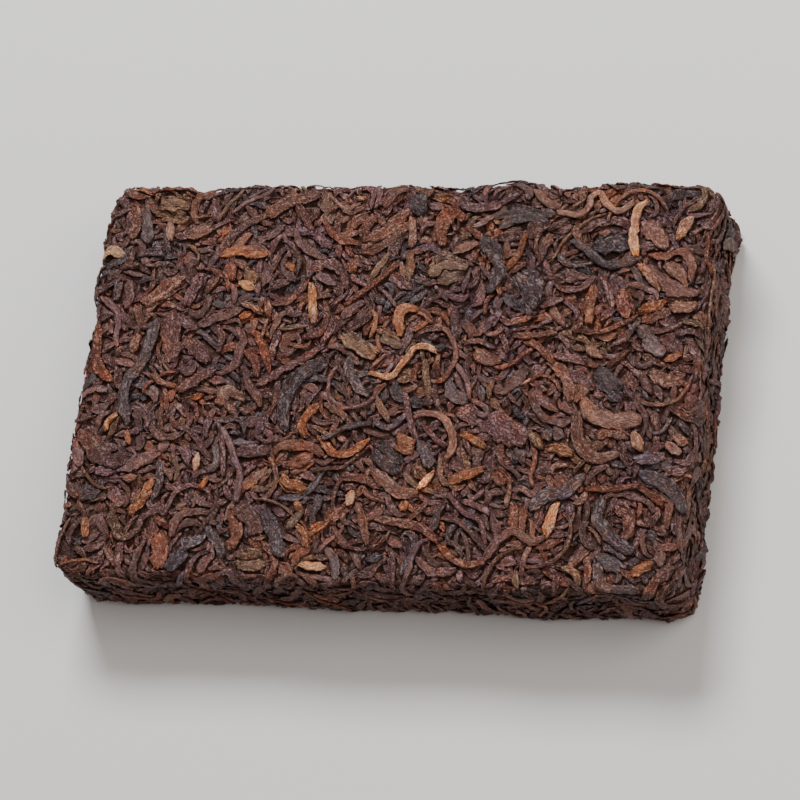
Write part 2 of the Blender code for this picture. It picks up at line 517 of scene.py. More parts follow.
def leaf_heights(across, up, lateral, along, fit, kind, rng):
    """How high each point lies over the mould's wall (below it, so negative), and its painted light
    and shade: lighter on the crests, darker in the folds and creases.
    """
    count, corners = lateral.shape
    angle = section_angles(kind.sides)
    folds = rng.uniform(*kind.folds)
    twist = rng.uniform(*kind.twist) * rng.choice((-1, 1))
    drift = rough_row(rng, count, DRIFT, 3)
    phase = rng.uniform(0, math.pi) + (twist * along + drift)[:, None]
    crest = (0.5 - 0.5 * np.cos(2 * (folds * angle[None, :] + phase))) ** 0.7
    hump = 1 - rng.uniform(*kind.fold_depth) * (1 - crest)
    long_ridges = smoothed(rng.normal(0, RIDGE_HEIGHT, (count, corners)), 4)
    short_ridges = smoothed(rng.normal(0, DENT_DEPTH, (count, corners)))
    ridges = twisted(long_ridges, twist * along, kind) + short_ridges
    puffs = creased(lateral, along, kind.creases, rng)
    curl = rng.uniform(*CURL, 2)[(across > 0).astype(int)] * np.abs(across) ** 3

    thin = np.clip(0.5 + 0.25 * rings_from_end(count), 0, 1)
    over = fit.rise * thin * hump + ridges + curl + kind.crease_depth * (puffs - 1)
    below = -kind.under * thin * np.abs(up)
    height = np.where(up >= 0, over * np.abs(up) ** 0.5, below)
    crumple = rough_row(rng, count, CRUMPLE, 1)[:, None] * np.abs(up)
    height = height + np.where(up >= 0, crumple, 0)
    tilt = rng.normal(0, TILT) + rough_row(rng, count, TILT, 2)
    height = height + tilt[:, None] * lateral + rng.normal(0, GRIT, height.shape)
    height = height - (fit.top + fit.rise)[:, None]
    height = np.where(height > 0, PRESSED_BACK * height, height)
    # Painted light and shade, kept in the tint's alpha: painted light on the crests, painted shade
    # in the folds, creases and low ridges, and more painted shade on the underside.
    relief_shade = np.clip(0.4 * crest + 0.5 * puffs + ridges * 2.0, 0, 1)
    return height, np.where(up >= 0, relief_shade, 0.3)


def frayed(count, corners, rng):
    """How far each point moves along the leaf, so that its ends are ragged."""
    fray = rng.uniform(-1, 1, corners) * FRAY * np.clip(1 - 0.5 * rings_from_end(count), 0, 1)
    return fray * np.where(np.arange(count) * 2 < count, -1, 1)[:, None]


def leaf_points(line, fit, kind, rng):
    """The leaf's rings as (ring, section point, xyz), the painted light and shade of each point, and
    its grain.
    """
    feet = line.feet[fit.first:fit.last]
    sides = line.sides[fit.first:fit.last]
    headings = np.cross(sides, line.normals[fit.first:fit.last])
    count = len(feet)
    along = np.arange(count) * STEP
    angle = section_angles(kind.sides)
    across, up = np.cos(angle), np.sin(angle)
    across = np.sign(across) * np.abs(across) ** ROUNDNESS
    width = np.where(across > 0, fit.right[:, None], fit.left[:, None])
    lateral = across * width * (1 + rng.normal(0, JITTER, (count, len(angle))))

    height, relief_shade = leaf_heights(across, up, lateral, along, fit, kind, rng)
    base, normals = slab_surface(feet[:, None, :] + lateral[..., None] * sides[:, None, :])
    fray = frayed(count, len(angle), rng)
    rings = base + normals * height[..., None] + fray[..., None] * headings[:, None, :]
    grain = np.stack((lateral, np.repeat(along[:, None], len(angle), 1)), axis=-1)
    return rings, relief_shade, grain


# ------------------------------------------------------------------------------------------------
# Leaves gathered into one mesh for each kind.

UV_MARGIN = 0.04  # round a leaf's cell of the UV square, as a share of the cell


@cache
def ring_topology(rings, sides):
    """Quads round a closed tube with a tip vertex at each end, and where each corner is in UV."""
    faces, corners = [], []
    for i in range(rings - 1):
        for k in range(sides):
            n = (k + 1) % sides
            faces.append((i * sides + k, i * sides + n, (i + 1) * sides + n, (i + 1) * sides + k))
            corners.append(((i + 1, k), (i + 1, k + 1), (i + 2, k + 1), (i + 2, k)))
    first_tip, last_tip = rings * sides, rings * sides + 1
    for k in range(sides):
        n = (k + 1) % sides
        faces.append((first_tip, n, k))
        corners.append(((0, k + 0.5), (1, k + 1), (1, k)))
        faces.append((last_tip, (rings - 1) * sides + k, (rings - 1) * sides + n))
        corners.append(((rings + 1, k + 0.5), (rings, k), (rings, k + 1)))
    loops = np.array([v for face in faces for v in face])
    totals = np.array([len(face) for face in faces])
    places = np.array([c for corner in corners for c in corner], dtype=float)
    return loops, totals, places / (rings + 1, sides)


class Heap:
    """Leaves of one kind on one part of the brick, which become one mesh."""

    def __init__(self):
        self.points, self.loops, self.totals, self.places = [], [], [], []
        self.tints, self.grains = [], []
        self.size = 0

    def add(self, rings, relief_shade, grain, tint, number):
        """Adds a leaf. Its number tells its skin from that of the others."""
        count, sides = rings.shape[:2]
        loops, totals, places = ring_topology(count, sides)
        tips = np.stack((self.tip(rings, 0, 1), self.tip(rings, -1, -2)))
        self.points.append(np.concatenate((rings.reshape(-1, 3), tips)))
        self.loops.append(loops + self.size)
        self.totals.append(totals)
        self.places.append(places)
        # The tint's alpha carries the leaf's painted light and shade, with a middling value at the
        # two tips.
        relief_shade = np.append(relief_shade.ravel(), (0.5, 0.5))
        self.tints.append(np.column_stack((np.tile(tint, (len(relief_shade), 1)), relief_shade)))
        grains = np.vstack((grain.reshape(-1, 2), grain[0].mean(0), grain[-1].mean(0)))
        self.grains.append(np.column_stack((grains, np.full(len(grains), number))))
        self.size += count * sides + 2

    @staticmethod
    def tip(rings, end, before):
        centre, inner = rings[end].mean(axis=0), rings[before].mean(axis=0)
        return centre + TIP_REACH * (centre - inner)

    def cells(self):
        """Lays each leaf out in a cell of its own on the UV square."""
        columns = math.ceil(math.sqrt(len(self.places) * 0.5))
        rows = math.ceil(len(self.places) / columns)
        spread = []
        for i, places in enumerate(self.places):
            corner = np.array((i % columns, i // columns))
            inside = UV_MARGIN + (1 - 2 * UV_MARGIN) * places
            spread.append((corner + inside) / (columns, rows))
        return np.concatenate(spread)

    def mesh(self, name):
        points = bend_outline(np.concatenate(self.points)) * MM
        mesh = new_mesh(name, points, np.concatenate(self.loops), np.concatenate(self.totals))
        mesh.uv_layers.new(name="OFBake").data.foreach_set("uv", self.cells().ravel())
        add_attribute(mesh, "tint", "FLOAT_COLOR", "color", np.concatenate(self.tints))
        add_attribute(mesh, "grain", "FLOAT_VECTOR", "vector", np.concatenate(self.grains))
        return mesh


def new_mesh(name, points, loops, totals):
    mesh = bpy.data.meshes.new(name)
    mesh.vertices.add(len(points))
    mesh.vertices.foreach_set("co", points.ravel())
    mesh.loops.add(len(loops))
    mesh.loops.foreach_set("vertex_index", loops)
    mesh.polygons.add(len(totals))
    mesh.polygons.foreach_set("loop_start", np.cumsum(totals) - totals)
    mesh.polygons.foreach_set("loop_total", totals)
    mesh.update(calc_edges=True)
    mesh.validate()
    mesh.shade_smooth()
    return mesh


def add_attribute(mesh, name, kind, field, values):
    attribute = mesh.attributes.new(name, kind, "POINT")
    attribute.data.foreach_set(field, np.ascontiguousarray(values, dtype=np.float32).ravel())


def linear(colour):
    colour = np.asarray(colour, dtype=float)
    return np.where(colour <= 0.04045, colour / 12.92, ((colour + 0.055) / 1.055) ** 2.4)


def any_tint(point, rng):
    """A tint for a leaf here. Neighbours are often alike: a tea's leaves darken in clumps."""
    x, y, z = point
    clump = np.sin(x / 5.1 + 1.3 * np.sin(y / 6.3) + z / 4)
    clump = clump + np.sin(y / 4.7 + 1.4 * np.sin(x / 7.9) - z / 3)
    place = 0.5 + 0.17 * clump + rng.normal(0, 0.19)
    shares = np.cumsum([share for _, share in TINTS.values()])
    return list(TINTS)[np.searchsorted(shares[:-1], np.clip(place, 0, 1) * shares[-1])]


def tint_colour(rng, name):
    """A tint from the list, a little lighter or darker and warmer or cooler each time."""
    colour = np.array(TINTS[name][0]) * rng.uniform(*TINT_LIGHT)
    warmth = rng.normal(0, TINT_WARMTH)
    return linear(np.clip(colour * (1 + warmth, 1, 1 - warmth), 0, 1))


# ------------------------------------------------------------------------------------------------
# Laying the whole brick.

# Leaves that stand out on the show face: (shape, tint, half width, then the places along it).
SHOWN = (
    ("stems", "tan", 0.6, (36, 41), (41, 40), (43, 42), (43, 44), (45, 45), (47, 42), (50, 40),
     (53, 42)),
    ("strands", "gold", 0.8, (56, 43), (54, 40), (54, 34), (55, 30)),
    ("stems", "ink", 0.8, (40, 34), (44, 31), (48, 28), (52, 28), (56, 30)),
    ("rolled", "ink", 1.8, (45, 32), (49, 33), (53, 33)),
    ("buds", "amber", 0.9, (45, 31), (47, 32)),
    ("rolled", "chestnut", 0.9, (40, 37), (42, 33), (45, 30)),
    ("buds", "gold", 1.1, (64, 34), (65, 36), (66, 39)),
    ("buds", "tan", 0.8, (56, 28), (59, 25), (61, 22)),
    ("rolled", "rust", 0.8, (58, 30), (62, 30), (66, 31), (68, 28), (68, 24)),
    ("rolled", "chestnut", 1.5, (56, 38), (59, 35), (62, 32)),
    ("rolled", "umber", 1.3, (58, 28), (61, 25), (65, 22), (70, 21)),
    ("rolled", "chestnut", 1.1, (62, 28), (65, 26), (67, 23)),
    ("rolled", "ink", 1.3, (19, 34), (23, 30), (24, 25), (22, 21)),
    ("stems", "tan", 0.45, (20, 34), (23, 31), (25, 28)),
    ("rolled", "chestnut", 1.0, (13, 31), (15, 32), (18, 33)),
    ("stems", "amber", 0.55, (29, 35), (28, 30), (25, 26), (24, 23), (25, 21)),
    ("rolled", "chestnut", 0.8, (26, 22), (24, 23), (27, 27), (30, 28)),
    ("folded", "slate", 2.6, (28, 26), (31, 23), (33, 18)),
    ("folded", "ink", 2.2, (27, 19), (30, 18), (33, 21)),
    ("stems", "tan", 0.6, (26, 15), (28, 14), (31, 15), (33, 17)),
    ("folded", "ink", 2.2, (23, 38), (28, 40), (34, 40)),
    ("rolled", "umber", 1.2, (23, 34), (29, 35), (34, 38)),
    ("stems", "rust", 0.45, (22, 16), (22, 19), (24, 22)),
    ("buds", "gold", 0.8, (-20, 23), (-19, 19), (-18, 14)),
    ("stems", "tan", 0.8, (2, 39), (3, 32)),
    ("rolled", "olive", 0.8, (3, 31), (3, 27), (3, 24)),
    ("rolled", "ink", 1.8, (2, 44), (4, 40)),
    ("rolled", "olive", 1.1, (2, 47), (4, 45), (6, 46)),
    ("folded", "chestnut", 2.4, (-5, 42), (-2, 45), (0, 46)),
    ("folded", "chestnut", 2.2, (-9, 32), (-4, 34), (1, 39)),
    ("rolled", "rust", 1.0, (-9, 33), (-9, 36), (-7, 40)),
    ("folded", "rust", 2.2, (9, 34), (9, 38), (11, 42)),
    ("rolled", "chestnut", 0.7, (-18, 44), (-15, 42), (-13, 40)),
    ("rolled", "chestnut", 0.6, (-10, 42), (-13, 40), (-15, 38)),
    ("buds", "gold", 0.6, (-12, 44), (-10, 44)),
    ("rolled", "rust", 0.7, (-19, 38), (-15, 34), (-10, 33)),
    ("rolled", "chestnut", 0.7, (-18, 36), (-14, 35), (-10, 36)),
    ("buds", "tan", 0.7, (1, 28), (2, 25)),
    ("buds", "amber", 0.8, (-11, 28), (-10, 26)),
    ("stems", "rust", 0.6, (0, 28), (-5, 23), (-11, 18)),
    ("rolled", "plum", 1.1, (-2, 26), (1, 24), (4, 22)),
    ("folded", "olive", 1.8, (8, 26), (11, 29), (16, 28)),
    ("rolled", "olive", 1.2, (10, 24), (13, 25), (16, 27)),
    ("rolled", "amber", 0.9, (3, 11), (2, 15), (3, 17), (6, 17)),
    ("rolled", "chestnut", 0.6, (5, 17), (8, 16), (10, 14)),
    ("stems", "amber", 0.5, (6, 12), (10, 15)),
    ("stems", "gold", 0.6, (-3, 2), (2, 1), (5, 5), (7, 8), (10, 8), (12, 7)),
    ("buds", "gold", 0.7, (7, 9), (9, 7)),
    ("folded", "olive", 1.7, (-10, 11), (-7, 9), (-2, 6)),
    ("folded", "olive", 1.6, (-1, 11), (4, 9)),
    ("stems", "tan", 0.3, (-3, 3), (0, 6)),
    ("rolled", "ink", 1.2, (8, 10), (11, 8), (14, 8)),
    ("rolled", "chestnut", 1.1, (21, 7), (24, 5), (27, 5)),
    ("stems", "chestnut", 0.6, (29, 11), (34, 11), (39, 12)),
    ("rolled", "rust", 0.7, (32, 10), (36, 8), (39, 5)),
    ("rolled", "chestnut", 1.0, (38, 5), (41, 3), (43, 0), (44, -4)),
    ("buds", "amber", 0.6, (13, 0), (15, 1)),
    ("rolled", "slate", 1.2, (16, 0), (17, -3), (20, -5)),
    ("buds", "slate", 0.8, (23, -1), (24, -4)),
    ("stems", "plum", 0.5, (17, 4), (20, 0), (21, -4)),
    ("strands", "ink", 1.4, (-14, 4), (-18, 2), (-21, -1), (-22, -6), (-21, -12)),
    ("rolled", "amber", 0.9, (-43, 30), (-38, 31), (-32, 30)),
    ("rolled", "chestnut", 0.8, (-38, 32), (-34, 32), (-31, 30)),
    ("folded", "tan", 2.2, (-60, 17), (-57, 20), (-52, 24)),
    ("folded", "plum", 2.1, (-49, 18), (-48, 22), (-47, 25)),
    ("strands", "slate", 1.2, (-56, 14), (-57, 9), (-58, 4), (-61, -1), (-61, -6), (-59, -11)),
    ("rolled", "plum", 2.1, (-53, 16), (-52, 11), (-51, 4)),
    ("folded", "olive", 2.1, (-60, 43), (-53, 43)),
    ("folded", "olive", 1.5, (-60, 40), (-53, 40)),
    ("folded", "chestnut", 1.8, (-51, 36), (-46, 38)),
    ("buds", "tan", 0.8, (-57, 38), (-56, 34)),
    ("rolled", "gold", 0.9, (-73, 29), (-70, 31), (-67, 30)),
    ("rolled", "chestnut", 1.0, (-66, 42), (-65, 38), (-65, 34)),
    ("rolled", "slate", 1.2, (-64, 42), (-62, 37), (-61, 33)),
    ("buds", "gold", 0.8, (-37, 23), (-34, 22)),
    ("rolled", "rust", 1.1, (-41, 28), (-39, 24)),
    ("folded", "olive", 1.6, (-37, 26), (-34, 23)),
    ("folded", "amber", 1.1, (-36, 14), (-34, 15)),
    ("buds", "tan", 0.7, (-30, 19), (-29, 15)),
    ("stems", "tan", 0.3, (-29, 15), (-30, 10)),
    ("stems", "rust", 0.6, (-16, 19), (-15, 15), (-16, 11), (-20, 10)),
    ("rolled", "rust", 0.9, (-72, 14), (-70, 9), (-69, 3), (-65, -1)),
    ("buds", "tan", 0.9, (-60, 10), (-61, 6)),
    ("stems", "chestnut", 0.6, (-55, 1), (-53, -1), (-49, -2)),
    ("rolled", "umber", 1.1, (-48, -3), (-44, 0), (-40, 2)),
    ("rolled", "umber", 1.3, (-48, 9), (-45, 7), (-42, 4)),
    ("buds", "slate", 0.8, (-20, 4), (-18, 3)),
    ("rolled", "chestnut", 1.3, (-33, 40), (-28, 43), (-21, 45)),
    ("rolled", "tan", 1.1, (-38, -6), (-36, -3), (-32, -5)),
    ("buds", "amber", 0.7, (-27, 28), (-24, 26)),
    ("buds", "amber", 0.7, (-45, -5), (-42, -4)),
    ("buds", "pale", 0.8, (-41, -18), (-41, -22)),
    ("stems", "slate", 0.7, (-37, -16), (-36, -20), (-38, -22)),
    ("buds", "tan", 0.9, (-58, -24), (-55, -24)),
    ("rolled", "amber", 0.8, (-38, -24), (-39, -26)),
    ("buds", "amber", 0.9, (-66, -34), (-65, -38)),
    ("rolled", "umber", 1.5, (-70, -13), (-67, -17), (-62, -20), (-58, -19)),
    ("rolled", "plum", 1.2, (-68, -12), (-65, -16), (-61, -17)),
    ("stems", "gold", 0.5, (-64, -13), (-64, -11), (-62, -9)),
    ("folded", "plum", 2.0, (-72, -17), (-69, -23)),
    ("buds", "amber", 0.6, (-59, -13), (-58, -16)),
    ("rolled", "plum", 1.3, (-65, -23), (-57, -21), (-50, -18)),
    ("strands", "slate", 0.7, (-50, -20), (-49, -25), (-50, -29)),
    ("folded", "amber", 1.6, (-55, -32), (-53, -29), (-51, -26)),
    ("rolled", "olive", 0.9, (-60, -30), (-59, -34), (-56, -38), (-52, -36)),
    ("folded", "plum", 2.2, (-65, -40), (-61, -38)),
    ("rolled", "plum", 0.8, (-56, -38), (-56, -44), (-54, -48)),
    ("rolled", "rust", 1.4, (-47, -37), (-46, -45)),
    ("folded", "ink", 1.8, (-44, -44), (-40, -40)),
    ("buds", "tan", 0.7, (-44, -31), (-42, -30)),
    ("stems", "plum", 0.6, (-36, -12), (-34, -15), (-32, -19), (-30, -23), (-30, -29)),
    ("stems", "plum", 0.5, (-37, -11), (-35, -17), (-34, -23)),
    ("strands", "umber", 1.3, (-33, -17), (-24, -17)),
    ("stems", "slate", 0.7, (-33, -15), (-28, -15)),
    ("folded", "rust", 2.4, (-19, -21), (-14, -18)),
    ("folded", "amber", 1.5, (-20, -23), (-18, -25), (-14, -26)),
    ("rolled", "umber", 1.4, (-31, -28), (-27, -32), (-23, -36)),
    ("rolled", "ink", 1.4, (-23, -31), (-20, -36), (-17, -41)),
    ("rolled", "slate", 0.9, (-36, -35), (-33, -39), (-31, -42)),
    ("rolled", "rust", 1.2, (-31, -31), (-29, -35), (-29, -40)),
    ("folded", "olive", 2.2, (-28, -43), (-22, -42)),
    ("rolled", "amber", 0.7, (-15, -34), (-13, -36), (-12, -39)),
    ("rolled", "amber", 0.7, (-12, -36), (-8, -33)),
    ("buds", "olive", 0.7, (-17, -35), (-14, -31)),
    ("buds", "amber", 0.8, (-16, -29), (-14, -31)),
    ("buds", "gold", 0.8, (-13, -43), (-7, -43)),
    ("rolled", "amber", 0.9, (-14, -6), (-16, -8), (-17, -11), (-16, -13)),
    ("stems", "ink", 0.6, (-12, -14), (-6, -11), (-1, -10)),
    ("rolled", "amber", 0.8, (-13, -13), (-9, -17), (-5, -17), (-1, -14)),
    ("folded", "amber", 1.9, (5, -14), (9, -15)),
    ("folded", "ink", 2.4, (1, -16), (7, -20)),
    ("rolled", "slate", 1.1, (11, -14), (13, -17), (14, -20)),
    ("stems", "plum", 0.6, (6, -3), (8, -9), (10, -14)),
    ("stems", "plum", 0.5, (11, -10), (14, -13), (17, -15)),
    ("stems", "plum", 0.5, (17, 2), (20, -3), (25, -6), (25, -8), (23, -7)),
    ("rolled", "plum", 2.2, (19, -6), (26, -9), (35, -13)),
    ("strands", "olive", 1.0, (26, -4), (31, -9), (36, -12), (39, -15)),
    ("rolled", "amber", 0.7, (20, -12), (23, -13), (26, -15)),
    ("folded", "slate", 1.7, (32, -15), (34, -18)),
    ("rolled", "amber", 0.9, (39, -15), (42, -15), (46, -16)),
    ("strands", "chestnut", 1.1, (1, -21), (5, -24), (8, -26), (12, -26)),
    ("buds", "pale", 0.6, (12, -25), (15, -21)),
    ("rolled", "amber", 0.9, (19, -23), (22, -22), (26, -20)),
    ("folded", "rust", 1.8, (29, -20), (32, -23)),
    ("rolled", "amber", 0.8, (9, -28), (9, -30)),
    ("rolled", "gold", 0.8, (-4, -29), (-3, -26)),
    ("rolled", "chestnut", 1.2, (-1, -25), (-4, -29), (-8, -33), (-12, -38)),
    ("rolled", "chestnut", 0.8, (-2, -28), (0, -32), (2, -38)),
    ("rolled", "slate", 0.9, (-7, -39), (-5, -42), (-4, -46)),
    ("rolled", "umber", 0.8, (-6, -23), (-1, -23), (4, -25)),
    ("stems", "plum", 0.5, (19, -26), (23, -30), (27, -32), (29, -37)),
    ("strands", "chestnut", 0.8, (3, -32), (9, -33), (14, -34), (18, -37)),
    ("stems", "chestnut", 0.7, (18, -37), (21, -40), (25, -42), (29, -41)),
    ("strands", "chestnut", 0.7, (27, -43), (30, -39), (32, -36), (35, -34), (39, -36), (42, -35)),
    ("folded", "slate", 2.0, (40, -11), (42, -13)),
    ("strands", "slate", 1.2, (38, -29), (41, -26), (45, -25), (49, -21)),
    ("buds", "pale", 0.9, (44, -27), (43, -30), (42, -35)),
    ("rolled", "rust", 0.9, (34, -28), (35, -34)),
    ("rolled", "rust", 0.8, (36, -28), (37, -34)),
    ("strands", "chestnut", 1.1, (46, -7), (47, -13), (51, -17), (56, -16)),
    ("strands", "chestnut", 1.4, (47, -4), (51, -8), (60, -8)),
    ("buds", "gold", 0.9, (59, -11), (61, -15)),
    ("rolled", "chestnut", 1.1, (51, -12), (54, -11), (58, -12)),
    ("folded", "slate", 2.0, (60, -18), (66, -17)),
    ("folded", "tan", 2.1, (68, -13), (71, -15)),
    ("strands", "slate", 1.2, (61, -20), (66, -22), (70, -25), (72, -29)),
    ("stems", "rust", 0.6, (50, -24), (56, -24), (61, -23)),
    ("stems", "rust", 0.6, (61, -23), (64, -25), (67, -27)),
    ("strands", "slate", 1.1, (54, -26), (53, -30), (55, -33), (58, -36), (62, -38)),
    ("rolled", "chestnut", 1.1, (57, -35), (60, -34), (60, -30), (57, -28)),
    ("folded", "slate", 2.6, (55, -38), (60, -41)),
    ("strands", "slate", 1.0, (54, -40), (55, -44), (57, -47), (64, -47)),
    ("rolled", "amber", 1.1, (62, -43), (66, -40)),
    ("rolled", "amber", 1.0, (46, 23), (46, 18), (46, 14)),
    ("rolled", "amber", 1.0, (57, 17), (60, 18), (63, 19)),
    ("rolled", "chestnut", 0.9, (58, 15), (61, 16), (64, 17)),
    ("folded", "chestnut", 2.0, (63, 19), (69, 19)),
    ("folded", "rust", 1.8, (53, 22), (55, 16)),
    ("stems", "tan", 0.6, (48, 25), (50, 21), (51, 18)),
    ("buds", "tan", 0.9, (46, 9), (50, 6)),
    ("folded", "slate", 2.0, (59, 11), (64, 8)),
    ("rolled", "amber", 0.9, (64, 6), (68, 7)),
    ("rolled", "chestnut", 1.2, (61, 3), (65, 1), (69, 2)),
    ("folded", "ink", 2.0, (50, 2), (53, -1), (56, -3)),
    ("rolled", "chestnut", 1.4, (45, -4), (46, 0)),
    ("rolled", "plum", 1.2, (40, 4), (44, 2), (49, -1)),
)

# What is laid after them: (kind, part of the brick, starts tried for each 100 square mm, least share
# seen, how far it may sink, how much its direction strays from its neighbours').
STAGES = (
    ("buds", "faces", 0.12, 0.8, 0.2, 1.5),
    ("stems", "all", 0.35, 0.6, 0.15, 1.5),
    ("rolled_leaves", "faces", 1.2, 0.6, 0.3, 1.2),
    ("small_leaves", "faces", 3.5, 0.5, 0.4, 1.2),
    ("crumpled_leaves", "faces", 0.9, 0.35, 0.4, 1.5),
    ("layered_leaves", "walls", 9.0, 0.5, 0.5, 0.25),
    ("small_leaves", "faces", 8.0, 0.35, 0.5, 1.2),
    ("layered_leaves", "walls", 14.0, 0.35, 0.8, 0.35),
    ("rolled_leaves", "faces", 2.5, 0.3, 0.5, 1.5),
    ("small_leaves", "all", 10.0, 0.3, 0.7, 1.5),
    ("small_leaves", "all", 10.0, 0.25, 0.9, 1.5),
    ("fragments", "all", 14.0, 0.4, 1.0, 3.0),
)
# The tints of the kinds that don't come in all of them.
OWN_TINTS = {
    "buds": ("gold", "amber", "chestnut", "olive", "rust"),
    "stems": ("chestnut", "chestnut", "olive", "olive", "umber", "plum", "rust"),
}
STARTS = 4  # places to start from, for each square mm
TRIES = 3  # lines tried from each start
FOLD_HALF_WIDTH = 0.8  # of each fold of a broad leaf, roughly
FOLD_OVERLAP = 1.25  # how much wider a fold is than its share of the leaf
FOLD_CROWDING = 0.85  # how much closer than that the folds lie
FOLD_BOW = 0.25  # how far they bow aside
FOLD_SLIP = 0.7  # how far they slip along the leaf
MOST_TURN = math.radians(190)  # of a leaf from end to end
BEND_TAIL = 2.5  # degrees of freedom: the fewer, the more leaves bend a lot
SHARPEST = 0.25  # the most that a leaf's steady bend turns it from ring to ring
UNEVEN_BEND = 1.3  # how much its bend varies from ring to ring, as a share of the kind's bend
HOOK_RINGS = 5  # rings of the end that a leaf may bend round into a hook


def surface_starts(rng):
    """Points spread evenly over the whole slab, in a random order."""
    count = int(SLAB_AREA * STARTS)
    faces = ((LENGTH, WIDTH, 2), (LENGTH, THICKNESS, 1), (WIDTH, THICKNESS, 0))
    total = sum(a * b for a, b, _ in faces)
    points = []
    for a, b, axis in faces:
        n = int(count * a * b / total)
        flat = rng.uniform(-0.5, 0.5, (n, 2)) * (a, b)
        ends = rng.choice((-0.5, 0.5), n) * (LENGTH, WIDTH, THICKNESS)[axis]
        points.append(np.insert(flat, axis, ends, axis=1))
    points = np.concatenate(points) + (0, 0, THICKNESS / 2)
    rng.shuffle(points)
    return slab_surface(points)


def piece_name(name, tint, normal):
    """The commonest leaves are kept apart by face, and some of them by shade too."""
    if name in ("stems", "strands", "buds", "fragments"):
        return name
    if name == "layered_leaves":
        return name + ("_long_sides" if abs(normal[1]) > 0.5 else "_short_sides")
    if name != "crumpled_leaves":
        name = ("dark_" if tint in DARK_TINTS else "brown_") + name
    return name + ("_front" if normal[2] > 0 else "_back")


def lay_leaf(bed, heaps, line, fit, name, rng, tint):
    kind = KINDS[name]
    stamp(bed, line, fit, kind)
    rings, relief_shade, grain = leaf_points(line, fit, kind, rng)
    middle = (fit.first + fit.last) // 2
    tint = tint or any_tint(line.feet[middle], rng)
    heap = heaps.setdefault(piece_name(name, tint, line.normals[middle]), Heap())
    heap.add(rings, relief_shade, grain, tint_colour(rng, tint), rng.uniform(0, 50))


def side_by_side(places, half_width, rng):
    """Where the folds of a broad leaf lie, and the half width of each."""
    along = unit(places[-1] - places[0])
    aside = np.array((-along[1], along[0]))
    count = max(2, round(half_width / FOLD_HALF_WIDTH))
    lines = []
    for k in rng.permutation(count):
        shift = (2 * k + 1 - count) * half_width / count
        bow = np.sin(np.linspace(0, math.pi, len(places)))[:, None] * rng.normal(0, FOLD_BOW)
        slip = rng.normal(0, FOLD_SLIP)
        lines.append(places + aside * (FOLD_CROWDING * shift + bow) + along * slip)
    return lines, FOLD_OVERLAP * half_width / count


def lay_shown(bed, heaps, rng):
    for shape, tint, half_width, *places in SHOWN:
        name = "rolled_leaves" if shape in ("rolled", "folded") else shape
        kind = KINDS[name]
        lines = [np.array(places, dtype=float)]
        if shape == "folded":
            lines, half_width = side_by_side(lines[0], half_width, rng)
        for points in lines:
            line = drawn_line(points)
            fit = fit_leaf(bed, line, kind, rng, half_width, kind.rise[1], 0.0)
            if fit is not None:
                lay_leaf(bed, heaps, line, fit, name, rng, tint)


def random_bends(shape, kind, rng):
    """How much each line turns at each step: a steady bend, an uneven one, and a hook at its end."""
    count, steps = shape
    bends = np.clip(rng.standard_t(BEND_TAIL, count) * kind.bend, -SHARPEST, SHARPEST)[:, None]
    bends = bends + rng.normal(0, UNEVEN_BEND * kind.bend, (count, steps))
    bends[:, :HOOK_RINGS] += rng.normal(0, kind.hook, (count, 1))
    least = MOST_TURN / np.maximum(np.abs(bends.sum(axis=1)), MOST_TURN)
    return bends * least[:, None]


def ring_count(length):
    return max(FEWEST_RINGS, round(length / STEP) + 1)


def best_place(bed, lines, kind, least_seen, sink, rng):
    """The line that shows most of a random leaf, and how it fits there, or None if none will do."""
    count = ring_count(rng.uniform(*kind.length))
    half_width, rise = rng.uniform(*kind.half_width), rng.uniform(*kind.rise)
    low = sink * rng.uniform(0, 1) ** 1.5
    best = None
    for parts in zip(*lines):
        line = Line(*(part[:count] for part in parts))
        fit = fit_leaf(bed, line, kind, rng, half_width, rise, low)
        if fit is None or fit.share < least_seen:
            continue
        worth = fit.share * (fit.last - fit.first)
        if best is None or worth > best[0]:
            best = (worth, line, fit)
    return best[1:] if best else None


def lay_stage(bed, heaps, stage, starts, normals, rng):
    name, where, density, least_seen, sink, spread = stage
    kind = KINDS[name]
    on_wall = np.abs(normals[:, 2]) < STEEP
    here = {"faces": ~on_wall, "walls": on_wall, "all": on_wall | True}[where]
    free = np.flatnonzero((bed.read(starts) < OPEN_BELOW) & here)
    chosen = free[: int(density * SLAB_AREA * here.mean() / 100)]
    many = np.repeat(chosen, TRIES)
    headings = first_headings(starts[many], normals[many], rng, spread)
    bends = random_bends((len(many), ring_count(kind.length[1])), kind, rng)
    lines = walk(starts[many], headings, bends)
    for i, start in enumerate(starts[chosen]):
        if bed.read(start) >= OPEN_BELOW:
            continue
        mine = Line(*(part[i * TRIES:(i + 1) * TRIES] for part in lines))
        place = best_place(bed, mine, kind, least_seen, sink, rng)
        if place:
            tint = rng.choice(OWN_TINTS[name]) if name in OWN_TINTS else None
            lay_leaf(bed, heaps, *place, name, rng, tint)


def lay_brick():
    rng = np.random.default_rng(SEED)
    bed, heaps = Bed(), {}
    starts, normals = surface_starts(rng)
    lay_shown(bed, heaps, rng)
    for stage in STAGES:
        lay_stage(bed, heaps, stage, starts, normals, rng)
    return bed, heaps


# ------------------------------------------------------------------------------------------------
# The core under the leaves.

CORE_CELL = 1.2
CORE_ROUGHNESS = 0.2
CORE_GAP = 0.05  # between the core and the leaves that lie deepest
CORE_FEEL = 0.5  # how far round each place it feels for them
FACE_FLOOR = (1.25, 3.2)  # the core's least and greatest depth on the two large faces,
WALL_FLOOR = (0.75, 1.8)  # on the walls
RIM_FLOOR = (0.4, 1.0)  # and along the rims and corners, where light would show through a gap
FLAT = 0.98  # the part of a normal along an axis, from which a place belongs to a face or a wall


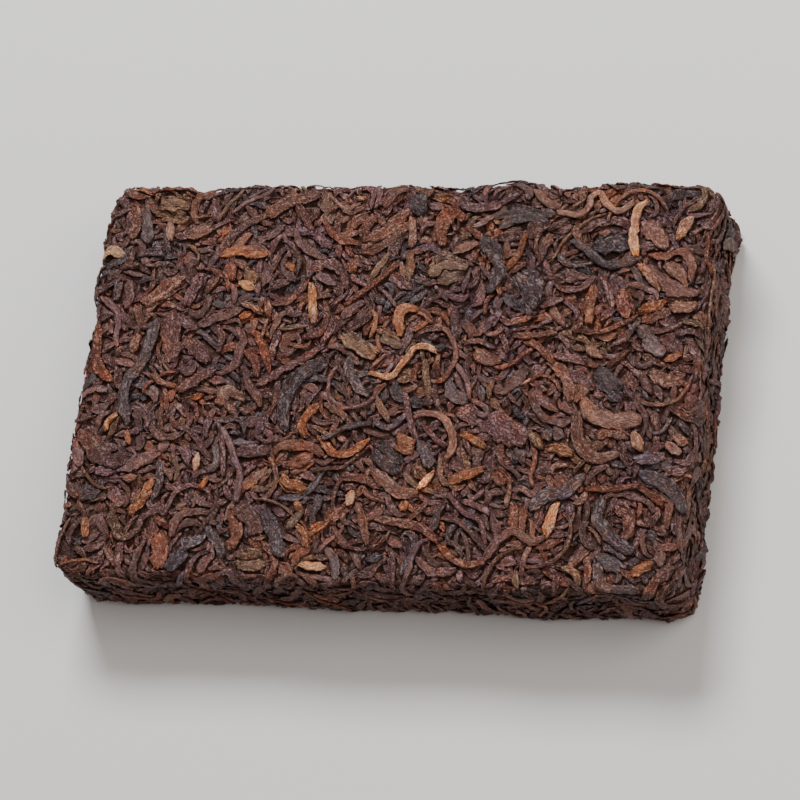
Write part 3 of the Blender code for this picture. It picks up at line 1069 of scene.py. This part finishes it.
def box_grid():
    """A closed box of small square cells, as points and quads."""
    counts = [max(1, round(size / CORE_CELL)) for size in (LENGTH, WIDTH, THICKNESS)]
    points, quads, start = [], [], 0
    for axis in range(3):
        u, v = [a for a in range(3) if a != axis]
        for end in (0, counts[axis]):
            a, b = np.meshgrid(np.arange(counts[u] + 1), np.arange(counts[v] + 1), indexing="ij")
            grid = np.zeros(a.shape + (3,), dtype=int)
            grid[..., u], grid[..., v], grid[..., axis] = a, b, end
            index = start + np.arange(a.size).reshape(a.shape)
            corners = (index[:-1, :-1], index[1:, :-1], index[1:, 1:], index[:-1, 1:])
            quad = np.stack(corners, -1).reshape(-1, 4)
            outward = (end > 0) == (axis != 1)
            quads.append(quad if outward else quad[:, ::-1])
            points.append(grid.reshape(-1, 3))
            start += a.size
    points, where = np.unique(np.concatenate(points), axis=0, return_inverse=True)
    quads = where.ravel()[np.concatenate(quads)]
    places = points / counts * (LENGTH, WIDTH, THICKNESS) - (LENGTH / 2, WIDTH / 2, 0)
    return places, quads


def make_core(bed):
    rng = np.random.default_rng(SEED + 1)
    places, quads = box_grid()
    feet, normals = slab_surface(places)
    deep = bed.read_deepest(feet, CORE_FEEL)
    on_face = np.abs(normals[:, 2]) > FLAT
    on_wall = np.abs(normals[:, :2]).max(axis=1) > FLAT
    least, greatest = (
        np.select((on_face, on_wall), (face, wall), rim)
        for face, wall, rim in zip(FACE_FLOOR, WALL_FLOOR, RIM_FLOOR)
    )
    least = least + np.abs(rng.normal(0, CORE_ROUGHNESS, len(feet)))
    depth = np.minimum(np.maximum(deep + CORE_GAP, least), greatest)
    points = bend_outline(feet - normals * depth[:, None]) * MM
    mesh = new_mesh("tea_core", points, quads.ravel(), np.full(len(quads), 4))
    return add_piece(mesh, core_material())


# ------------------------------------------------------------------------------------------------
# Materials.


class Nodes:
    """Adds nodes to a material and links them, in few words."""

    def __init__(self, name):
        self.material = bpy.data.materials.new(name)
        self.material.use_nodes = True
        self.tree = self.material.node_tree
        self.shader = self.tree.nodes["Principled BSDF"]

    def add(self, kind, inputs=(), **settings):
        node = self.tree.nodes.new(kind)
        for key, value in settings.items():
            setattr(node, key, value)
        for key, value in dict(inputs).items():
            self.feed(node.inputs[key], value)
        return node

    def feed(self, socket, value):
        if isinstance(value, bpy.types.NodeSocket):
            self.tree.links.new(value, socket)
        else:
            socket.default_value = value

    def math(self, operation, a, b=0.0):
        return self.add("ShaderNodeMath", {0: a, 1: b}, operation=operation).outputs[0]

    def scaled(self, value, factor, offset):
        inputs = {0: value, 1: factor, 2: offset}
        return self.add("ShaderNodeMath", inputs, operation="MULTIPLY_ADD").outputs[0]

    def stretched(self, vector, scale):
        return self.add("ShaderNodeMapping", {"Vector": vector, "Scale": scale}).outputs[0]

    def ramp(self, value, stops):
        """Maps a value through (place, grey level) stops."""
        node = self.add("ShaderNodeValToRGB", {"Fac": value})
        elements = node.color_ramp.elements
        while len(elements) < len(stops):
            elements.new(0.5)
        for element, (place, level) in zip(elements, stops):
            element.position = place
            element.color = (level, level, level, 1)
        return node.outputs["Color"]

    def eased(self, value, start, end):
        """Rises smoothly from 0 to 1 as the value goes from start to end."""
        inputs = {"Value": value, "From Min": start, "From Max": end}
        node = self.add("ShaderNodeMapRange", inputs, interpolation_type="SMOOTHSTEP")
        return node.outputs["Result"]

    def noise(self, vector, scale, detail=2.0, roughness=0.5, distortion=0.0):
        inputs = {"Vector": vector, "Scale": scale, "Detail": detail}
        inputs.update({"Roughness": roughness, "Distortion": distortion})
        return self.add("ShaderNodeTexNoise", inputs).outputs["Fac"]

    def mix(self, share, a, b, blend="MIX"):
        node = self.add("ShaderNodeMix", data_type="RGBA", blend_type=blend, clamp_factor=True)
        for key, value in ((0, share), (6, a), (7, b)):
            self.feed(node.inputs[key], value)
        return node.outputs[2]


def leaf_material(name, roughness, gloss, stretch):
    """Leaf skin: its tint, wrinkled along the grain, with painted light on the crests and painted
    shade in the folds and creases.
    """
    n = Nodes(name)
    tint = n.add("ShaderNodeAttribute", attribute_name="tint")
    grain = n.add("ShaderNodeAttribute", attribute_name="grain").outputs["Vector"]
    place = n.add("ShaderNodeTexCoord").outputs["Object"]
    waves = n.noise(n.stretched(grain, (1.0, stretch, 1.0)), 1.15, 3.0, 0.6, 1.3)
    puffs = n.eased(n.math("ABSOLUTE", n.scaled(waves, 2.0, -1.0)), 0.0, 0.17)
    blotches = n.noise(n.stretched(grain, (0.7, 0.35, 1.0)), 0.9, 3.0, 0.6, 0.3)
    speckle = n.noise(grain, 1.5, 3.0, 0.7)

    number = n.add("ShaderNodeSeparateXYZ", {0: grain}).outputs[2]
    random = n.add("ShaderNodeTexWhiteNoise", {"W": number}, noise_dimensions="1D").outputs["Value"]
    crumpled = n.scaled(random, 0.6, 0.15)
    # Painted shade along the creases, painted light on the crests and painted shade in the folds
    # from the tint's alpha, and random flecks of tone together make the shade that the tint is
    # multiplied by.
    light = n.scaled(n.scaled(puffs, 1.0, -0.8), crumpled, 1.0)
    relief_shade = n.scaled(n.ramp(tint.outputs["Alpha"], ((0.08, 0.0), (0.8, 1.0))), 0.66, 0.62)
    fleck = n.scaled(n.ramp(speckle, ((0.36, 0.0), (0.64, 1.0))), 0.45, 0.78)
    shade = n.math("MULTIPLY", n.math("MULTIPLY", light, relief_shade), fleck)
    colour = n.mix(1.0, tint.outputs["Color"], shade, "MULTIPLY")
    # A cast over the colour grows from nothing to full as its field goes from start to end.
    for field, start, end, cast in (
        (shade, 0.98, 0.3, (1.62, 0.87, 0.72, 1)),  # painted shade turns redder in the folds
        (shade, 0.9, 1.5, (0.93, 1.0, 1.08, 1)),  # painted highlight turns cooler on the crests
        (blotches, 0.48, 0.34, (0.82, 0.72, 0.7, 1)),  # darker patches of a leaf
        (blotches, 0.54, 0.7, (1.3, 1.06, 0.84, 1)),  # and golden ones
        (n.noise(place, 170.0, 3.0, 0.6), 0.52, 0.66, (1.36, 1.08, 0.85, 1)),  # dust of buds
        (n.noise(place, 90.0, 2.0, 0.5), 0.5, 0.34, (0.88, 0.84, 0.99, 1)),  # and dark clumps
    ):
        changed = n.mix(1.0, colour, cast, "MULTIPLY")
        colour = n.mix(n.eased(field, start, end), colour, changed)
    n.feed(n.shader.inputs["Base Color"], colour)

    n.feed(n.shader.inputs["Roughness"], n.scaled(blotches, 0.3, roughness - 0.15))
    n.shader.inputs["Specular IOR Level"].default_value = gloss
    height = n.math("ADD", n.math("MULTIPLY", puffs, crumpled), n.scaled(speckle, 0.4, 0.0))
    bump = n.add("ShaderNodeBump", {"Height": height, "Strength": 1.0, "Distance": 0.8 * MM})
    n.feed(n.shader.inputs["Normal"], bump.outputs[0])
    return n.material


def core_material():
    """Crumbs and dust of leaf, seen in the gaps, coloured far darker than the leaves: painted shade
    for the gaps between them.
    """
    n = Nodes("crumbled_tea_painted_shade")
    place = n.add("ShaderNodeTexCoord").outputs["Object"]
    crumbs = n.add("ShaderNodeTexVoronoi", {"Vector": place, "Scale": 900.0})
    grime = n.noise(place, 300.0, 4.0, 0.6)
    # The crumbs' own random tone, set far darker than any leaf as painted shade for the gaps.
    shaded_core_tone = n.add("ShaderNodeValToRGB", {"Fac": n.mix(0.5, crumbs.outputs["Color"], grime)})
    shaded_core_tone.color_ramp.elements[0].color = (0.016, 0.007, 0.005, 1)
    shaded_core_tone.color_ramp.elements[1].color = (0.085, 0.038, 0.026, 1)
    n.feed(n.shader.inputs["Base Color"], shaded_core_tone.outputs[0])
    n.shader.inputs["Roughness"].default_value = 0.75
    n.shader.inputs["Specular IOR Level"].default_value = 0.15
    height = n.math("ADD", crumbs.outputs["Distance"], grime)
    bump = n.add("ShaderNodeBump", {"Height": height, "Strength": 1.0, "Distance": 0.4 * MM})
    n.feed(n.shader.inputs["Normal"], bump.outputs[0])
    return n.material


# ------------------------------------------------------------------------------------------------
# Pieces.


def add_piece(mesh, material):
    mesh.materials.append(material)
    piece = bpy.data.objects.new(mesh.name, mesh)
    bpy.context.scene.collection.objects.link(piece)
    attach(piece, "root")
    return piece


def make_leaves(heaps):
    leaf = leaf_material("tea_leaf", roughness=0.46, gloss=0.33, stretch=0.6)
    smooth = leaf_material("tea_stem", roughness=0.45, gloss=0.33, stretch=0.4)
    for name, heap in heaps.items():
        add_piece(heap.mesh(name), smooth if name in ("stems", "strands", "buds") else leaf)


# ------------------------------------------------------------------------------------------------
# Floor, light and camera.


LIT_POINT = (0, 0, 0.01)


def make_floor():
    bpy.ops.mesh.primitive_plane_add(size=6.0, location=(0, 0, 0))
    floor = bpy.context.object
    floor.name = "floor"
    n = Nodes("pale_floor")
    n.shader.inputs["Base Color"].default_value = (0.7, 0.685, 0.665, 1)
    n.shader.inputs["Roughness"].default_value = 0.8
    floor.data.materials.append(n.material)


def add_light(name, place, size, power, colour):
    """A soft box that faces the brick."""
    data = bpy.data.lights.new(name, "AREA")
    data.shape = "RECTANGLE"
    data.size, data.size_y = size
    data.energy = power
    data.color = colour
    light = bpy.data.objects.new(name, data)
    light.location = place
    towards = Vector(LIT_POINT) - Vector(place)
    light.rotation_euler = towards.to_track_quat("-Z", "Y").to_euler()
    bpy.context.scene.collection.objects.link(light)


def light_scene():
    add_light("key", (-0.2, 0.82, 0.84), (0.5, 0.35), 20.8, (0.95, 0.97, 1.0))
    add_light("fill", (0.7, 0.1, 0.9), (0.9, 0.9), 7.6, (1.0, 0.97, 0.94))
    world = bpy.data.worlds.new("studio")
    world.use_nodes = True
    world.node_tree.nodes["Background"].inputs["Color"].default_value = (1.0, 0.92, 0.89, 1)
    world.node_tree.nodes["Background"].inputs["Strength"].default_value = 0.31
    bpy.context.scene.world = world


# The camera looks down on the brick as the photograph looks at it from in front, and its axes are
# given in the brick's frame.
CAMERA_PLACE = (0.2603, -0.2550, 0.6813)  # from the middle of the show face
CAMERA_RIGHT = (0.9433, 0.1297, -0.3055)
CAMERA_UP = (-0.0146, 0.9358, 0.3522)
CAMERA_LENS = 157.5
CAMERA_SHIFT = -0.01125


def make_camera():
    data = bpy.data.cameras.new("camera")
    data.lens = CAMERA_LENS
    data.sensor_width = 36
    data.shift_y = CAMERA_SHIFT
    data.clip_start = 0.01
    camera = bpy.data.objects.new("camera", data)
    right = Vector(CAMERA_RIGHT).normalized()
    back = right.cross(Vector(CAMERA_UP)).normalized()
    up = back.cross(right)
    turn = Matrix((right, up, back)).transposed().to_4x4()
    place = Vector(CAMERA_PLACE) + Vector((0, 0, THICKNESS * MM))
    camera.matrix_world = Matrix.Translation(place) @ turn
    bpy.context.scene.collection.objects.link(camera)
    bpy.context.scene.camera = camera


def main():
    bed, heaps = lay_brick()
    core = make_core(bed)
    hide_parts("tea_brick")
    make_leaves(heaps)
    make_floor()
    light_scene()
    make_camera()


main()
